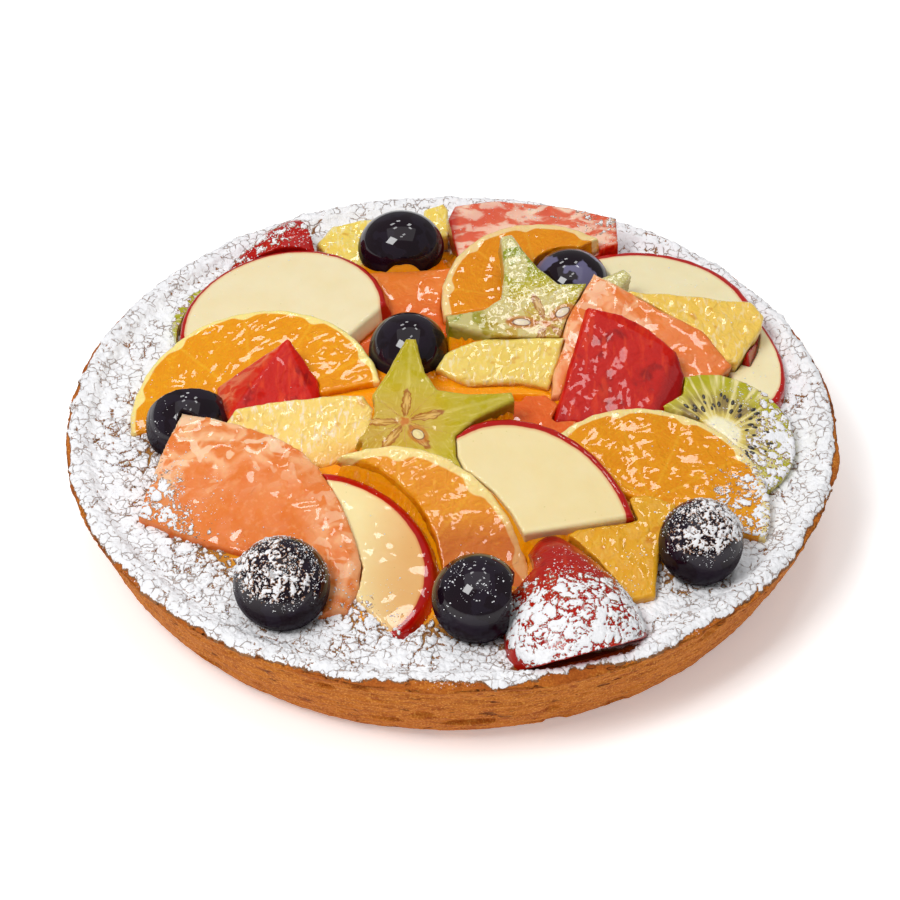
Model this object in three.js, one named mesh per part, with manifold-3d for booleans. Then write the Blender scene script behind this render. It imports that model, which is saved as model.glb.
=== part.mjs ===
// Fruit tart: a sweet pastry case, filled with baked cream under amber jelly and topped with cut fruit.
// Millimetres, +Z up. The origin is the middle of the flat base, and -Y is the front.
import * as THREE from 'three';
import { ConvexGeometry } from 'three/addons/geometries/ConvexGeometry.js';
import { mergeVertices } from 'three/addons/utils/BufferGeometryUtils.js';
import Module from 'manifold-3d';

const wasm = await Module();
wasm.setup();

// Pastry case
const RIM_RADIUS = 115;
const RIM_HEIGHT = 31.5;
const RIM_EDGE_DROP = 1.5;
const RIM_WIDTH = 7;
const RIM_CREST_INSET = 2.5;
const RIM_LIP = { inset: 1, drop: 0.6, depth: 2 };
const BASE_RADIUS = 98.5;
const BASE_INNER_RADIUS = 96;
const BASE_THICKNESS = 5;
const WALL_FLARE = 0.62;
const WALL_LEVELS = [1.5, 4.5, 8, 12, 16, 20, 24, 27.5];
const CASE_SEGMENTS = 72;
const WALL_ROUGHNESS = 0.35;
const WALL_LAYERS = 1.7;
const RIM_ROUGHNESS = 0.4;
const RIM_LUMP = { angle: -9, width: 3.5, height: 25, spread: 4.5, size: 2.2 };

// Filling
const FILLING_EDGE_HEIGHT = 29;
const FILLING_CENTRE_HEIGHT = 40;
const FILLING_SHOULDER = 0.86;
const FILLING_SEGMENTS = 32;
const FILLING_RINGS = 5;

// Fruit
const GAP = 0.35;
const CLEARANCE_LIFT = 14;
const FACES_UP = 0.2;
const EDGE_ROUNDING = 0.7;
const APPLE_THICKNESS = 6;
const APPLE_SKIN_FLARE = 0.05;
const ORANGE_THICKNESS = 6.5;
const KIWI_THICKNESS = 6;
const MELON_THICKNESS = 7;
const PINEAPPLE_THICKNESS = 8;
const STAR_THICKNESS = 8;
const STAR_VALLEY = 0.48;
const STAR_FLANKS = [{ reach: 0.82, share: 0.09 }, { reach: 0.62, share: 0.2 }];
const STAR_TIP_WIDTH = 0.1;
const SEED_LENGTH = 5;
const SEED_WIDTH = 2.6;
const BERRY_SLICE_THICKNESS = 12;
const BERRY_TAPER = 0.55;
const BERRY_STALK_END = -0.45;

const COLOURS = {
  crust: { color: 0xb87433, roughness: 0.85 },
  filling: { color: 0xd99a3a, roughness: 0.35 },
  apple: { color: 0xf0e2b0, roughness: 0.3 },
  orange: { color: 0xf09a10, roughness: 0.25 },
  melon: { color: 0xf08048, roughness: 0.3 },
  strawberry: { color: 0xd8231a, roughness: 0.25 },
  kiwi: { color: 0x9db52c, roughness: 0.3 },
  grape: { color: 0x120c16, roughness: 0.15 },
  star: { color: 0xc3cf4c, roughness: 0.25 },
  pineapple: { color: 0xf0dc80, roughness: 0.3 },
};

const rad = THREE.MathUtils.degToRad;
const wave = (angle, lobes, phase) => Math.sin(angle * lobes + phase);
const bump = (distance, width) => Math.exp(-((distance / width) ** 2));

// Keeps only the positions, with the shared corners merged, which a boolean cut needs.
function welded(geometry) {
  const bare = geometry.clone();
  bare.deleteAttribute('normal');
  bare.deleteAttribute('uv');
  return mergeVertices(bare, 1e-4);
}

function toSolid(geometry) {
  const closed = welded(geometry);
  return new wasm.Manifold(new wasm.Mesh({
    numProp: 3,
    vertProperties: new Float32Array(closed.attributes.position.array),
    triVerts: new Uint32Array(closed.index.array),
  }));
}

function toGeometry(solid) {
  const mesh = solid.getMesh();
  const geometry = new THREE.BufferGeometry();
  geometry.setAttribute('position', new THREE.BufferAttribute(new Float32Array(mesh.vertProperties), 3));
  geometry.setIndex(new THREE.BufferAttribute(new Uint32Array(mesh.triVerts), 1));
  return geometry;
}

// The way out at each point of a welded geometry, with each face counted by its angle there.
function waysOut(geometry) {
  const { index } = geometry;
  const { position } = geometry.attributes;
  const ways = Array.from({ length: position.count }, () => new THREE.Vector3());
  const triangle = new THREE.Triangle();
  const normal = new THREE.Vector3();
  for (let i = 0; i < index.count; i += 3) {
    const ids = [index.getX(i), index.getX(i + 1), index.getX(i + 2)];
    triangle.setFromAttributeAndIndices(position, ...ids);
    triangle.getNormal(normal);
    const corners = [triangle.a, triangle.b, triangle.c];
    ids.forEach((id, k) => {
      const ahead = corners[(k + 1) % 3].clone().sub(corners[k]);
      const behind = corners[(k + 2) % 3].clone().sub(corners[k]);
      ways[id].addScaledVector(normal, ahead.angleTo(behind));
    });
  }
  return ways.map((way) => way.normalize());
}

// The same shape moved out by the gap that neighbours keep, and its upper side lifted by the lift.
function grown(geometry, lift = 0) {
  const larger = welded(geometry);
  const { position } = larger.attributes;
  waysOut(larger).forEach((way, i) => {
    const rise = way.z > FACES_UP ? lift : 0;
    position.setXYZ(
      i,
      position.getX(i) + GAP * way.x,
      position.getY(i) + GAP * way.y,
      position.getZ(i) + GAP * way.z + rise,
    );
  });
  return larger;
}

// Moves each point of a geometry by a function of its place.
function reshaped(geometry, move) {
  const position = geometry.attributes.position;
  const point = new THREE.Vector3();
  for (let i = 0; i < position.count; i += 1) {
    point.fromBufferAttribute(position, i);
    move(point);
    position.setXYZ(i, point.x, point.y, point.z);
  }
  return geometry;
}

// A slice with its cut face at z = 0, rounded edges, and sides that may widen downward.
function slab(shape, thickness, { flare = 0, curveSegments = 8 } = {}) {
  const geometry = new THREE.ExtrudeGeometry(shape, {
    depth: thickness - 2 * EDGE_ROUNDING,
    bevelThickness: EDGE_ROUNDING,
    bevelSize: EDGE_ROUNDING,
    bevelOffset: -EDGE_ROUNDING,
    bevelSegments: 1,
    curveSegments,
  });
  geometry.translate(0, 0, EDGE_ROUNDING - thickness);
  return reshaped(geometry, (p) => {
    const widening = 1 - (flare * p.z) / thickness;
    p.x *= widening;
    p.y *= widening;
  });
}

// A half round, whose straight side may stand out in a heel with corners cut at 45 degrees.
function halfRound(width, depth, heel = 0) {
  const shape = new THREE.Shape();
  shape.absellipse(0, 0, width, depth, 0, Math.PI, false, 0);
  if (heel > 0) {
    shape.lineTo(heel - width, -heel);
    shape.lineTo(width - heel, -heel);
  }
  shape.closePath();
  return shape;
}

function round(width, depth) {
  const shape = new THREE.Shape();
  shape.absellipse(0, 0, width, depth, 0, 2 * Math.PI, false, 0);
  return shape;
}

// A flat piece with a few corners.
function chunk(corners, thickness, options) {
  const points = corners.map(([x, y]) => new THREE.Vector2(x, y));
  return slab(new THREE.Shape(points), thickness, options);
}

const appleSlice = (width, depth, { heel = 0, flare = APPLE_SKIN_FLARE } = {}) => (
  slab(halfRound(width, depth, heel), APPLE_THICKNESS, { flare })
);
const orangeSlice = (width, depth) => slab(halfRound(width, depth), ORANGE_THICKNESS);
const kiwiSlice = (width, depth) => slab(round(width, depth), KIWI_THICKNESS, { curveSegments: 13 });

// The section of a star fruit, with blunt tips and hollow flanks. Each arm has its angle and its length.
function starShape(arms) {
  const corners = [];
  const add = (radius, angle) => (
    corners.push(new THREE.Vector2(radius * Math.cos(rad(angle)), radius * Math.sin(rad(angle))))
  );
  const tipWidth = THREE.MathUtils.radToDeg(STAR_TIP_WIDTH);
  arms.forEach(([angle, length], k) => {
    const [nextAngle, nextLength] = arms[(k + 1) % arms.length];
    const step = (nextAngle - angle + 360) % 360;
    add(length, angle - tipWidth / 2);
    add(length, angle + tipWidth / 2);
    STAR_FLANKS.forEach(({ reach, share }) => add(length * reach, angle + step * share));
    add((STAR_VALLEY * (length + nextLength)) / 2, angle + step / 2);
    [...STAR_FLANKS].reverse().forEach(({ reach, share }) => (
      add(nextLength * reach, angle + step * (1 - share))
    ));
  });
  return new THREE.Shape(corners);
}

function seed(radius, angle) {
  const geometry = new THREE.SphereGeometry(1, 8, 4);
  geometry.scale(SEED_LENGTH / 2, SEED_WIDTH / 2, SEED_WIDTH / 2);
  geometry.translate(radius, 0, -SEED_WIDTH / 4);
  geometry.rotateZ(rad(angle));
  return geometry;
}

// A star fruit slice with the seeds that lie in its cut face.
function starSlice(arms, seeds) {
  let solid = toSolid(slab(starShape(arms), STAR_THICKNESS));
  for (const [reach, angle] of seeds) {
    solid = solid.add(toSolid(seed(reach, angle)));
  }
  return toGeometry(solid);
}

// A slice of soft fruit that follows two edges, with its middle raised.
function band(outer, inner, thickness, swell) {
  const steps = [10, 4, 1];
  const outerCurve = new THREE.CatmullRomCurve3(outer.map((p) => new THREE.Vector3(...p)));
  const innerCurve = new THREE.CatmullRomCurve3(inner.map((p) => new THREE.Vector3(...p)));
  const down = new THREE.Vector3(0, 0, -thickness);
  return reshaped(new THREE.BoxGeometry(1, 1, 1, ...steps), (p) => {
    const along = p.x + 0.5;
    const across = p.y + 0.5;
    const depth = 0.5 - p.z;
    const rise = swell * Math.sin(Math.PI * across) * (1 - depth);
    p.copy(innerCurve.getPoint(along)).lerp(outerCurve.getPoint(along), across);
    p.addScaledVector(down, depth);
    p.z += rise;
  });
}

// A cut block given by the corners that show, with their undersides at one depth.
function block(corners, floor, rounding = 1.2) {
  const points = [];
  for (const [x, y, z] of corners) {
    for (const height of [z - rounding, Math.min(floor, z - 3 * rounding)]) {
      for (const [dx, dy, dz] of [[1, 0, 0], [-1, 0, 0], [0, 1, 0], [0, -1, 0], [0, 0, 1]]) {
        points.push(new THREE.Vector3(x + dx * rounding, y + dy * rounding, height + dz * rounding));
      }
    }
  }
  return new ConvexGeometry(points);
}

function grape(length, width, height) {
  const geometry = new THREE.SphereGeometry(0.5, 14, 9);
  geometry.rotateZ(Math.PI / 2);
  geometry.scale(length, width, height);
  return geometry;
}

// Half a strawberry, skin up, its point toward +Y and its cut face at z = 0. The stalk end is cut at a slant
// and may be undercut.
function berry(length, width, height, { slant = 0, undercut = 0 } = {}) {
  const geometry = new THREE.SphereGeometry(1, 14, 10);
  reshaped(geometry, (p) => {
    const taper = 1 - BERRY_TAPER * Math.max(0, (p.y - BERRY_STALK_END) / (1 - BERRY_STALK_END));
    p.x *= taper * (width / 2);
    p.z *= taper * height;
    p.y *= length / 2;
  });
  const under = new THREE.BoxGeometry(4 * width, 4 * length, 2 * height);
  under.translate(0, 0, -height);
  const stalkEnd = new THREE.BoxGeometry(4 * width, length, 4 * height);
  stalkEnd.translate(0, -length / 2, 0);
  stalkEnd.rotateX(rad(undercut));
  stalkEnd.rotateZ(rad(slant));
  stalkEnd.translate(0, (BERRY_STALK_END * length) / 2, 0);
  return toGeometry(toSolid(geometry).subtract(toSolid(under)).subtract(toSolid(stalkEnd)));
}

// The fruit, from the piece on top to the piece underneath: where two cross, the lower one is cut away.
// toward is the compass angle, from +X, that a face leans to. turn spins the piece in its own face.
const FRUIT = [
  { name: 'grape_4', kind: 'grape', shape: grape(27, 27, 26), at: [-47, -81, 39] },
  {
    name: 'melon_1',
    kind: 'melon',
    shape: band(
      [
        [-79, -13, 44], [-65, -18, 45], [-49, -27, 46], [-38, -37, 44], [-29, -57, 40], [-25, -72, 35],
        [-29, -84, 31],
      ],
      [
        [-90, -45, 32], [-79, -51, 32], [-66, -58, 32], [-56, -62, 32], [-44, -68, 32], [-38, -78, 31],
        [-38, -86, 29],
      ],
      MELON_THICKNESS,
      3,
    ),
    at: [0, 0, 0],
  },
  {
    name: 'pine_1',
    kind: 'pineapple',
    shape: chunk(
      [
        [-22, 2], [-19, 7], [-4, 10], [11, 12], [18, 12], [21, 8], [21, 3], [18, -4], [10, -10],
        [-2, -13], [-18, -9],
      ],
      PINEAPPLE_THICKNESS,
    ),
    at: [-44, -19, 42],
    lean: 28,
    toward: -85,
  },
  {
    name: 'straw_1',
    kind: 'strawberry',
    shape: block(
      [
        [-49, 13, 51], [-69, 6, 39], [-64, 2, 42], [-66, -8, 38], [-40, -3, 38], [-41, 6, 42],
      ],
      33,
    ),
    at: [0, 0, 0],
  },
  {
    name: 'apple_2',
    kind: 'apple',
    shape: appleSlice(31.5, 31, { flare: 0.12 }),
    at: [-36, -69, 36.5],
    turn: -48,
    lean: 15,
    toward: -50,
  },
  {
    name: 'orange_2',
    kind: 'orange',
    shape: orangeSlice(40, 46),
    at: [-17, -74, 26],
    turn: 0,
    lean: 32,
    toward: -85,
  },
  {
    name: 'star_1',
    kind: 'star',
    shape: starSlice([[17, 33], [87, 31], [181, 27], [237, 30], [307, 31]], [[6, -50]]),
    at: [-13.5, -22.5, 48.7],
    lean: 14,
    toward: -90,
  },
  {
    name: 'orange_1',
    kind: 'orange',
    shape: orangeSlice(38, 41),
    at: [-58.5, -1, 36.5],
    turn: 9,
    lean: 11,
    toward: 225,
  },
  { name: 'grape_2', kind: 'grape', shape: grape(24, 24, 24), at: [-13, 20, 41] },
  {
    name: 'apple_3',
    kind: 'apple',
    shape: appleSlice(32.5, 42),
    at: [20, -61, 39.5],
    turn: 13,
    lean: 12,
    toward: -80,
  },
  {
    name: 'orange_3',
    kind: 'orange',
    shape: orangeSlice(35, 37),
    at: [57, -44, 37],
    turn: -18,
    lean: 10,
    toward: -50,
  },
  {
    name: 'straw_2',
    kind: 'strawberry',
    shape: block(
      [
        [41, 21, 57], [51, 21, 54], [59, 18, 51], [66, 12, 48], [68, 5, 45], [67, -1, 41],
        [59, -9, 38], [31, -9, 38],
      ],
      33,
    ),
    at: [0, 0, 0],
  },
  {
    name: 'straw_3',
    kind: 'strawberry',
    shape: berry(58, 44, 16, { slant: 9, undercut: 36 }),
    at: [32.5, -84.5, 30],
    turn: 10,
    lean: 8,
    toward: -85,
  },
  { name: 'grape_5', kind: 'grape', shape: grape(25, 25, 25), at: [7, -87, 39] },
  {
    name: 'grape_6',
    kind: 'grape',
    shape: grape(24, 22, 25),
    at: [70, -65, 40],
    turn: 20,
    lean: 20,
    toward: 130,
  },
  {
    name: 'pine_2',
    kind: 'pineapple',
    shape: chunk(
      [
        [-19, -4], [-16, 1], [-11, 4], [-4, 6], [20, 7], [18, 0], [15, -10], [6, -8], [-9, -9],
      ],
      PINEAPPLE_THICKNESS,
    ),
    at: [14, 12, 45],
    lean: 30,
    toward: -88,
  },
  {
    name: 'kiwi_1',
    kind: 'kiwi',
    shape: kiwiSlice(23, 25),
    at: [79, -15, 38],
    turn: -20,
    lean: 14,
    toward: -30,
  },
  {
    name: 'melon_3',
    kind: 'melon',
    shape: chunk(
      [
        [-11, 21], [22, 2], [31, -10], [18, -24], [-24, -26], [-23, -12], [-19, 3],
      ],
      MELON_THICKNESS,
    ),
    at: [54, 24, 46],
    lean: 18,
    toward: -70,
  },
  {
    name: 'star_2',
    kind: 'star',
    shape: starSlice([[43, 35], [109, 37], [183, 31], [252, 28], [324, 28]], [[7, 45], [7.5, 183]]),
    at: [28.5, 23.5, 49],
    lean: 13,
    toward: -60,
  },
  { name: 'grape_7', kind: 'grape', shape: grape(25, 24, 23), at: [37, 57, 38] },
  {
    name: 'pine_3',
    kind: 'pineapple',
    shape: chunk(
      [
        [-27, 10], [-12, 11], [13, 12], [17, 7], [16, 2], [8, -13], [-7, -12], [-22, 2],
      ],
      PINEAPPLE_THICKNESS,
    ),
    at: [79, 30, 43],
    lean: 16,
    toward: -50,
  },
  {
    name: 'apple_4',
    kind: 'apple',
    shape: appleSlice(34, 40),
    at: [59, 37, 41],
    turn: -25,
    lean: 8,
    toward: 40,
  },
  {
    name: 'apple_5',
    kind: 'apple',
    shape: appleSlice(34, 20),
    at: [80, 31, 35],
    turn: -73,
    lean: 6,
    toward: 10,
  },
  {
    name: 'orange_4',
    kind: 'orange',
    shape: orangeSlice(32, 36),
    at: [29, 44, 42],
    turn: 12,
    lean: 6,
    toward: -90,
  },
  {
    name: 'apple_1',
    kind: 'apple',
    shape: appleSlice(32, 33, { heel: 12 }),
    at: [-52, 38, 39.5],
    turn: 4,
    lean: 9,
    toward: 200,
  },
  {
    name: 'melon_4',
    kind: 'melon',
    shape: chunk([[-19, -2], [-6, 11], [8, 12], [18, 0], [14, -10], [-15, -11]], MELON_THICKNESS),
    at: [20, -11, 39],
    lean: 6,
    toward: -90,
  },
  {
    name: 'pine_4',
    kind: 'pineapple',
    shape: chunk(
      [
        [-23, 1], [-1, 18], [11, 20], [12, 17], [6, 0], [4, -17], [-3, -19], [-14, -13],
      ],
      PINEAPPLE_THICKNESS,
    ),
    at: [53, -62, 36],
    lean: 12,
    toward: -75,
  },
  {
    name: 'melon_2',
    kind: 'melon',
    shape: chunk(
      [
        [-19, 16], [-8, 18], [19, 20], [16, -4], [12, -22], [-15, -22], [-20, -4],
      ],
      MELON_THICKNESS,
    ),
    at: [-16, 44, 38],
    lean: 6,
    toward: -90,
  },
  { name: 'grape_1', kind: 'grape', shape: grape(27, 24, 23), at: [-16, 73, 41] },
  {
    name: 'straw_5',
    kind: 'strawberry',
    shape: chunk(
      [
        [-27, 4], [-25, 9], [-11, 11], [11, 9], [26, 5], [27, -6], [8, -13], [-23, -14],
      ],
      BERRY_SLICE_THICKNESS,
    ),
    at: [26, 79, 43],
    lean: 26,
    toward: -88,
  },
  {
    name: 'pine_5',
    kind: 'pineapple',
    shape: chunk([[-11, -1], [-6, 7], [3, 10], [9, 11], [9, -10], [-4, -12]], PINEAPPLE_THICKNESS),
    at: [-32, 82, 37],
    lean: 6,
    toward: -90,
  },
  {
    name: 'pine_6',
    kind: 'pineapple',
    shape: chunk([[-5, 4], [1, 7], [3, 5], [3, -8], [-5, -10]], PINEAPPLE_THICKNESS),
    at: [-4, 93, 38],
    lean: 8,
    toward: -80,
  },
  { name: 'straw_4', kind: 'strawberry', shape: berry(36, 27, 15), at: [-54, 77, 31], turn: 110 },
  {
    name: 'kiwi_2',
    kind: 'kiwi',
    shape: kiwiSlice(20, 22),
    at: [-67, 46, 34],
    turn: 0,
    lean: 5,
    toward: 150,
  },
  { name: 'grape_3', kind: 'grape', shape: grape(26, 25, 25), at: [-78, -7, 35], turn: 60 },
];

// Leans a piece toward a compass angle and sets it down at its place.
function placement({ at, turn = 0, lean = 0, toward = 0 }) {
  const matrix = new THREE.Matrix4().makeTranslation(...at);
  matrix.multiply(new THREE.Matrix4().makeRotationZ(rad(toward)));
  matrix.multiply(new THREE.Matrix4().makeRotationY(rad(lean)));
  matrix.multiply(new THREE.Matrix4().makeRotationZ(rad(turn - toward)));
  return matrix;
}

function largestBody(solid) {
  const bodies = solid.decompose();
  return bodies.reduce((best, body) => (body.volume() > best.volume() ? body : best));
}

function materialOf(kind) {
  return new THREE.MeshStandardMaterial({ ...COLOURS[kind], metalness: 0 });
}

// A named mesh whose geometry is in its own frame and whose place is its position and rotation.
function meshOf(name, kind, solid, matrix = new THREE.Matrix4()) {
  const geometry = toGeometry(solid);
  geometry.applyMatrix4(matrix.clone().invert());
  geometry.computeVertexNormals();
  const mesh = new THREE.Mesh(geometry, materialOf(kind));
  mesh.name = name;
  mesh.applyMatrix4(matrix);
  return mesh;
}

function wallRadius(height) {
  return BASE_RADIUS + (RIM_RADIUS - BASE_RADIUS) * (height / RIM_HEIGHT) ** WALL_FLARE;
}

// Flaky layers on the wall, an uneven rim and the lump that baked out at its side.
function crustRelief(point) {
  const radius = Math.hypot(point.x, point.y);
  if (radius < 1 || point.z < 1) return;
  const angle = Math.atan2(point.y, point.x);
  const onWall = radius > wallRadius(point.z) - 2;
  const bedding = Math.sin(point.z * WALL_LAYERS + 2 * wave(angle, 4, 0.6));
  const layers = bedding + wave(angle, 21, point.z) + wave(angle, 37, 2);
  const fromLump = THREE.MathUtils.radToDeg(angle) - RIM_LUMP.angle;
  const fromLumpHeight = point.z - RIM_LUMP.height;
  const lump = RIM_LUMP.size * bump(fromLump, RIM_LUMP.width) * bump(fromLumpHeight, RIM_LUMP.spread);
  const push = onWall ? (WALL_ROUGHNESS * layers) / 2 + lump : 0;
  const lift = wave(angle, 7, 1) + wave(angle, 13, 2.2) + wave(angle, 29, 0.4);
  point.x *= 1 + push / radius;
  point.y *= 1 + push / radius;
  point.z += point.z > RIM_HEIGHT - 2 * RIM_EDGE_DROP ? (RIM_ROUGHNESS * lift) / 2 : 0;
}

function pastryCase() {
  const innerRim = RIM_RADIUS - RIM_WIDTH;
  const profile = [
    [0, 0],
    [BASE_RADIUS, 0],
    ...WALL_LEVELS.map((z) => [wallRadius(z), z]),
    [RIM_RADIUS, RIM_HEIGHT - RIM_EDGE_DROP],
    [RIM_RADIUS - RIM_CREST_INSET, RIM_HEIGHT],
    [innerRim + RIM_LIP.inset, RIM_HEIGHT - RIM_LIP.drop],
    [innerRim, RIM_HEIGHT - RIM_LIP.depth],
    [BASE_INNER_RADIUS, BASE_THICKNESS],
    [0, BASE_THICKNESS],
  ];
  const points = profile.map(([r, z]) => new THREE.Vector2(r, z));
  const geometry = new THREE.LatheGeometry(points, CASE_SEGMENTS);
  geometry.rotateX(Math.PI / 2);
  return reshaped(geometry, crustRelief);
}

// Height of the filling: nearly level by the rim, then a low dome under the fruit.
function fillingHeight(share) {
  const inward = Math.max(0, 1 - share / FILLING_SHOULDER);
  const dome = 1 - (1 - inward) ** 2;
  return FILLING_EDGE_HEIGHT + (FILLING_CENTRE_HEIGHT - FILLING_EDGE_HEIGHT) * dome;
}

function filling() {
  const rimInside = RIM_RADIUS - RIM_WIDTH - 2 * GAP;
  const footInside = BASE_INNER_RADIUS - 2 * GAP;
  const floor = BASE_THICKNESS + GAP;
  const profile = [[0, floor], [footInside, floor], [rimInside, FILLING_EDGE_HEIGHT]];
  for (let ring = 1; ring <= FILLING_RINGS; ring += 1) {
    const share = 1 - ring / FILLING_RINGS;
    profile.push([rimInside * share, fillingHeight(share)]);
  }
  const points = profile.map(([r, z]) => new THREE.Vector2(r, z));
  const geometry = new THREE.LatheGeometry(points, FILLING_SEGMENTS);
  geometry.rotateX(Math.PI / 2);
  return geometry;
}

// Cuts each piece by those above it, then the filling by them all.
function buildTart() {
  const tart = new THREE.Group();
  const above = [];
  const touching = [];
  let cream = toSolid(filling());
  let crust = toSolid(pastryCase());
  for (const { name, kind, shape, ...place } of FRUIT) {
    const matrix = placement(place);
    let piece = toSolid(shape.clone().applyMatrix4(matrix));
    for (const cutter of above) {
      piece = piece.subtract(cutter);
    }
    tart.add(meshOf(name, kind, largestBody(piece), matrix));
    above.push(toSolid(grown(shape, CLEARANCE_LIFT).applyMatrix4(matrix)));
    touching.push(toSolid(grown(shape).applyMatrix4(matrix)));
  }
  for (const cutter of above) {
    cream = cream.subtract(cutter);
  }
  for (const cutter of touching) {
    crust = crust.subtract(cutter);
  }
  tart.add(meshOf('filling', 'filling', largestBody(cream)));
  tart.add(meshOf('crust', 'crust', largestBody(crust)));
  return tart;
}

const tart = buildTart();

export default tart;
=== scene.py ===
"""Looks of the fruit tart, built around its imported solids.

Lengths are in millimetres until a mesh is made. Lamps are in metres.
"""

import itertools
import math

import bpy
import numpy as np
from mathutils import Matrix, Vector
from mathutils.bvhtree import BVHTree


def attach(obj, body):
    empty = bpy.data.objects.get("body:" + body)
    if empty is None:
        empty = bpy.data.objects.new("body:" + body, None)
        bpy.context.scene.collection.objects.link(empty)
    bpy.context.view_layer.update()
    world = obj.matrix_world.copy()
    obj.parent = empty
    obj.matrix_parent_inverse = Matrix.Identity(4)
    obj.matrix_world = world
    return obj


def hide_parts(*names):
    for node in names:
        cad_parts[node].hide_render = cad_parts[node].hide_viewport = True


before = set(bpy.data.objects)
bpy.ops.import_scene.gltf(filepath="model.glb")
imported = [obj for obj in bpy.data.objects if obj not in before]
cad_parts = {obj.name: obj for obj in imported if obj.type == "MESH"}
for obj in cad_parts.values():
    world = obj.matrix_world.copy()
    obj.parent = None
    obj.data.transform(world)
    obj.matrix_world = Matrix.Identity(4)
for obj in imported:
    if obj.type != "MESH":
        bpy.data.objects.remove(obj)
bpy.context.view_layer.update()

MM = 0.001
NODES = sorted(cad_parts)

# Camera, fitted to the photograph
CAMERA_AT = (0.0, -693.5, 604.7)
CAMERA_TARGET = (-0.45, -5.9, 23.9)
CAMERA_LENS = 120.4
SENSOR = 36.0

# The filling's upper face and the rim, as the frame has them
FILLING_EDGE = 29.0
FILLING_CENTRE = 40.0
FILLING_RADIUS = 107.4
FILLING_SHOULDER = 0.86
RIM_RADIUS = 115.0
RIM_INSIDE = 108.0
RIM_HEIGHT = 31.5

# Fineness of the meshes: sizes, levels, rows and columns, hidden rows of the crust, and where rays start
FRUIT_VOXEL = 0.5
WALL_LEVELS = np.arange(0.4, 29.6, 0.42)
RIM_ROWS = 17
CRUST_COLUMNS = 1040
BASE_ROWS = [(0.001, 0.0), (60.0, 0.0), (96.0, 0.0), (98.0, 0.05)]
INSIDE_ROWS = [(RIM_INSIDE - 0.4, RIM_HEIGHT - 3.0), (96.0, 5.0), (60.0, 5.0), (0.001, 5.0)]
FILLING_ROWS = 150
FILLING_COLUMNS = 600
RAY_TOP = 90.0
RAY_OUT = 140.0

# Cut faces, where the frame has them: middle, turn, lean, way of the lean, and half width and depth
SLICES = {
    "apple_1": ((-52, 38, 39.5), 4, 9, 200, (32, 33)),
    "apple_2": ((-36, -69, 36.5), -48, 15, -50, (31.5, 31)),
    "apple_3": ((20, -61, 39.5), 13, 12, -80, (32.5, 42)),
    "apple_4": ((59, 37, 41), -25, 8, 40, (34, 40)),
    "apple_5": ((80, 31, 35), -73, 6, 10, (34, 20)),
    "orange_1": ((-58.5, -1, 36.5), 9, 11, 225, (38, 41)),
    "orange_2": ((-17, -74, 26), 0, 32, -85, (40, 46)),
    "orange_3": ((57, -44, 37), -18, 10, -50, (35, 37)),
    "orange_4": ((29, 44, 42), 12, 6, -90, (32, 36)),
    "kiwi_1": ((79, -15, 38), -20, 14, -30, (23, 25)),
    "kiwi_2": ((-67, 46, 34), 0, 5, 150, (20, 22)),
    "star_1": ((-13.5, -22.5, 48.7), 0, 14, -90, (33, 33)),
    "star_2": ((28.5, 23.5, 49), 0, 13, -60, (36, 36)),
}
# Thickness of skin and pith, and the colour that each piece is multiplied by
RIND = {
    "apple_1": 1.5, "apple_2": 2.4, "apple_3": 2.1, "apple_4": 2.3, "apple_5": 2.3,
    "orange_1": 2.0, "orange_2": 2.7, "orange_3": 2.4, "orange_4": 2.5,
}
TINTS = {
    "apple_1": (0.92, 0.9, 0.91), "apple_2": (1.0, 0.96, 0.8), "apple_3": (0.92, 0.86, 0.74),
    "orange_1": (1.0, 0.94, 0.6), "orange_2": (0.98, 0.87, 0.6), "orange_3": (0.95, 0.87, 0.66),
    "orange_4": (0.93, 0.78, 0.62),
    "melon_1": (0.97, 0.94, 0.84), "melon_2": (1.0, 0.94, 0.62), "melon_3": (1.0, 0.94, 0.85),
    "melon_4": (1.0, 0.8, 0.5),
    "pine_1": (1.0, 0.97, 1.3), "pine_2": (0.94, 0.94, 1.0), "pine_3": (0.99, 0.87, 0.78),
    "pine_4": (0.84, 0.54, 0.12),
    "straw_1": (0.96, 0.7, 0.4), "straw_2": (0.88, 0.52, 0.3), "straw_3": (0.74, 0.5, 0.4),
    "straw_5": (1.0, 1.2, 1.15),
    "kiwi_1": (1.16, 1.09, 1.04), "star_1": (0.94, 0.82, 0.42), "star_2": (0.94, 0.87, 0.72),
}
# Arms: the angle of each
STAR_ARMS = {"star_1": (17, 87, 181, 237, 307), "star_2": (43, 109, 183, 252, 324)}
# Seeds: distance from the middle, angle, length and width
STAR_SEEDS = {"star_1": [(6, -50, 3.8, 2.9)], "star_2": [(7, 45, 5.0, 2.6), (7.5, 183, 5.0, 2.6)]}

# Whole round pieces: centre, turn, lean, the way it leans, and length, width and height
ROUNDS = {
    "grape_1": ((-16, 73, 41), 0, 0, 0, (27, 24, 23)),
    "grape_2": ((-13, 20, 41), 0, 0, 0, (24, 24, 24)),
    "grape_3": ((-78, -7, 35), 60, 0, 0, (26, 25, 25)),
    "grape_4": ((-47, -81, 39), 0, 0, 0, (27, 27, 26)),
    "grape_5": ((7, -87, 39), 0, 0, 0, (25, 25, 25)),
    "grape_6": ((70, -65, 40), 20, 20, 130, (24, 22, 25)),
    "grape_7": ((37, 57, 38), 0, 0, 0, (25, 24, 23)),
}
BERRIES = {
    "straw_3": ((32.5, -84.5, 30), 10, 8, -85, (58, 44, 16)),
    "straw_4": ((-54, 77, 31), 110, 0, 0, (36, 27, 15)),
}
BERRY_TAPER = 0.55
BERRY_STALK_END = -0.45

# Jelly: how far it rises on the fruit and fades there, and where the baked cream starts and is full
POOL_RISE = 3.5
POOL_FADE = 5.0
BAKED_START = 82.0
BAKED_FULL = 92.0

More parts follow.
